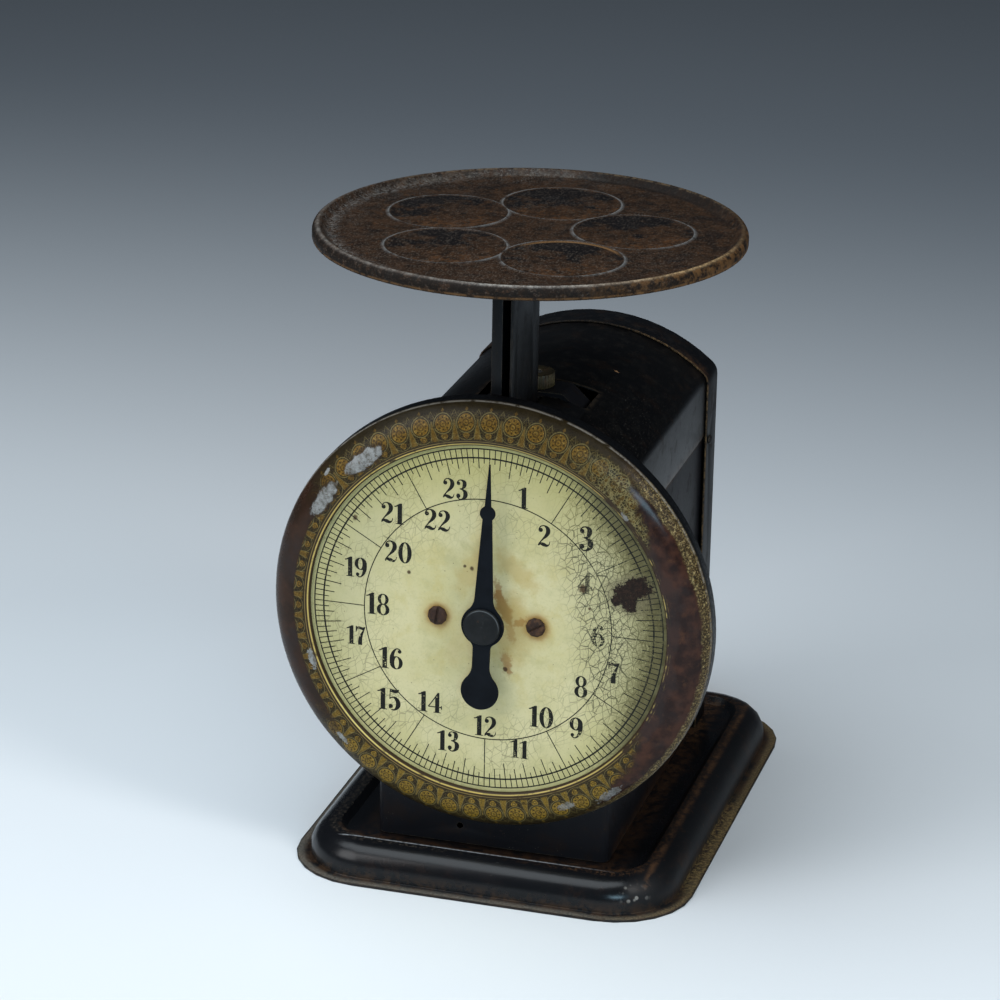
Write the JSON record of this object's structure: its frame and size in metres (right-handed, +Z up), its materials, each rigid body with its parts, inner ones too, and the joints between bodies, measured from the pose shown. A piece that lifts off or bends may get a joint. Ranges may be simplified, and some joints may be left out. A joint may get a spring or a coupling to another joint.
{
  "type": "household spring scale",
  "caption": "Antique household spring scale with a round dial, an arched sheet case on a pan base and a round platform on a channel post that drives the pointer by rack and pinion.",
  "frame": {"origin": "middle of the footprint at the ground", "axes": "+Z up, the dial faces -Y, +X to the right of someone who reads the dial"},
  "size_m": [0.173, 0.2298, 0.254],
  "materials": {
    "black_japan": "aged glossy black japan",
    "brown_japan": "worn brown-black japan",
    "maroon_japan": "worn maroon japan with a traditional gilt band",
    "dial_enamel": "yellowed cream, crazed",
    "blued_steel": "dark blued",
    "plain_steel": "aged satin",
    "spring_steel": "dark drawn wire",
    "old_brass": "tarnished",
    "bronzed_strap": "worn brown"
  },
  "bodies": {
    "case": {"base_pan": "black_japan", "lower_case": "black_japan", "hood": "black_japan", "back_cap": "black_japan", "dial_pan": "black_japan", "dial_plate": "dial_enamel", "bezel": "maroon_japan", "dial_screw_left": "plain_steel", "dial_screw_right": "plain_steel", "dial_pillar_left": "old_brass", "dial_pillar_right": "old_brass", "dial_nut_left": "plain_steel", "dial_nut_right": "plain_steel", "front_bush": "old_brass", "bearing_bracket": "plain_steel", "guide_socket": "plain_steel", "spring_left": "spring_steel", "spring_right": "spring_steel", "spring_anchor_left_upper": "old_brass", "spring_anchor_right_upper": "old_brass", "hanger_bar": "plain_steel", "zero_screw": "plain_steel", "inner_frame": "bronzed_strap", "frame_rivet_1": "plain_steel", "frame_rivet_2": "plain_steel", "case_rivet_1": "plain_steel", "case_rivet_2": "plain_steel", "case_rivet_3": "plain_steel", "case_rivet_4": "plain_steel", "cap_rivet_left": "plain_steel", "cap_rivet_right": "plain_steel"},
    "carriage": {"platform": "brown_japan", "platform_bracket": "black_japan", "platform_pin_1": "plain_steel", "platform_pin_2": "plain_steel", "post": "black_japan", "rack": "old_brass", "rack_rivet_1": "plain_steel", "rack_rivet_2": "plain_steel", "crosshead": "plain_steel", "tongue_pin_1": "plain_steel", "tongue_pin_2": "plain_steel", "load_strap_left": "plain_steel", "load_strap_right": "plain_steel", "strap_screw_left_upper": "plain_steel", "strap_screw_left_lower": "plain_steel", "strap_screw_right_upper": "plain_steel", "strap_screw_right_lower": "plain_steel", "lower_crossbar": "plain_steel", "guide_pin": "plain_steel", "spring_anchor_left_lower": "old_brass", "spring_anchor_right_lower": "old_brass"},
    "pointer_shaft": {"pointer": "blued_steel", "pointer_hub_cap": "blued_steel", "pointer_arbor": "plain_steel", "pinion": "old_brass"},
    "adjuster": {"zero_nut": "old_brass"}
  },
  "joints": [
    {"name": "platform_press", "type": "slide", "parent": "case", "child": "carriage", "axis": [0, 0, -1], "range_m": [0, 0.026], "stiffness_N_per_m": 4100, "springref_m": -0.002, "deforming": ["spring_left", "spring_right"]},
    {"name": "pointer_turn", "type": "hinge", "parent": "case", "child": "pointer_shaft", "pos_m": [0, -0.06037, 0.1115], "axis": [0, 1, 0], "range_deg": [0, 360]},
    {"name": "zero_adjust", "type": "hinge", "parent": "case", "child": "adjuster", "pos_m": [0, -0.01937, 0.18875], "axis": [0, 0, 1], "range_deg": [-180, 180]}
  ],
  "couplings": [
    {"joint": "pointer_turn", "follows": "platform_press", "rad_per_m": 241.66}
  ]
}
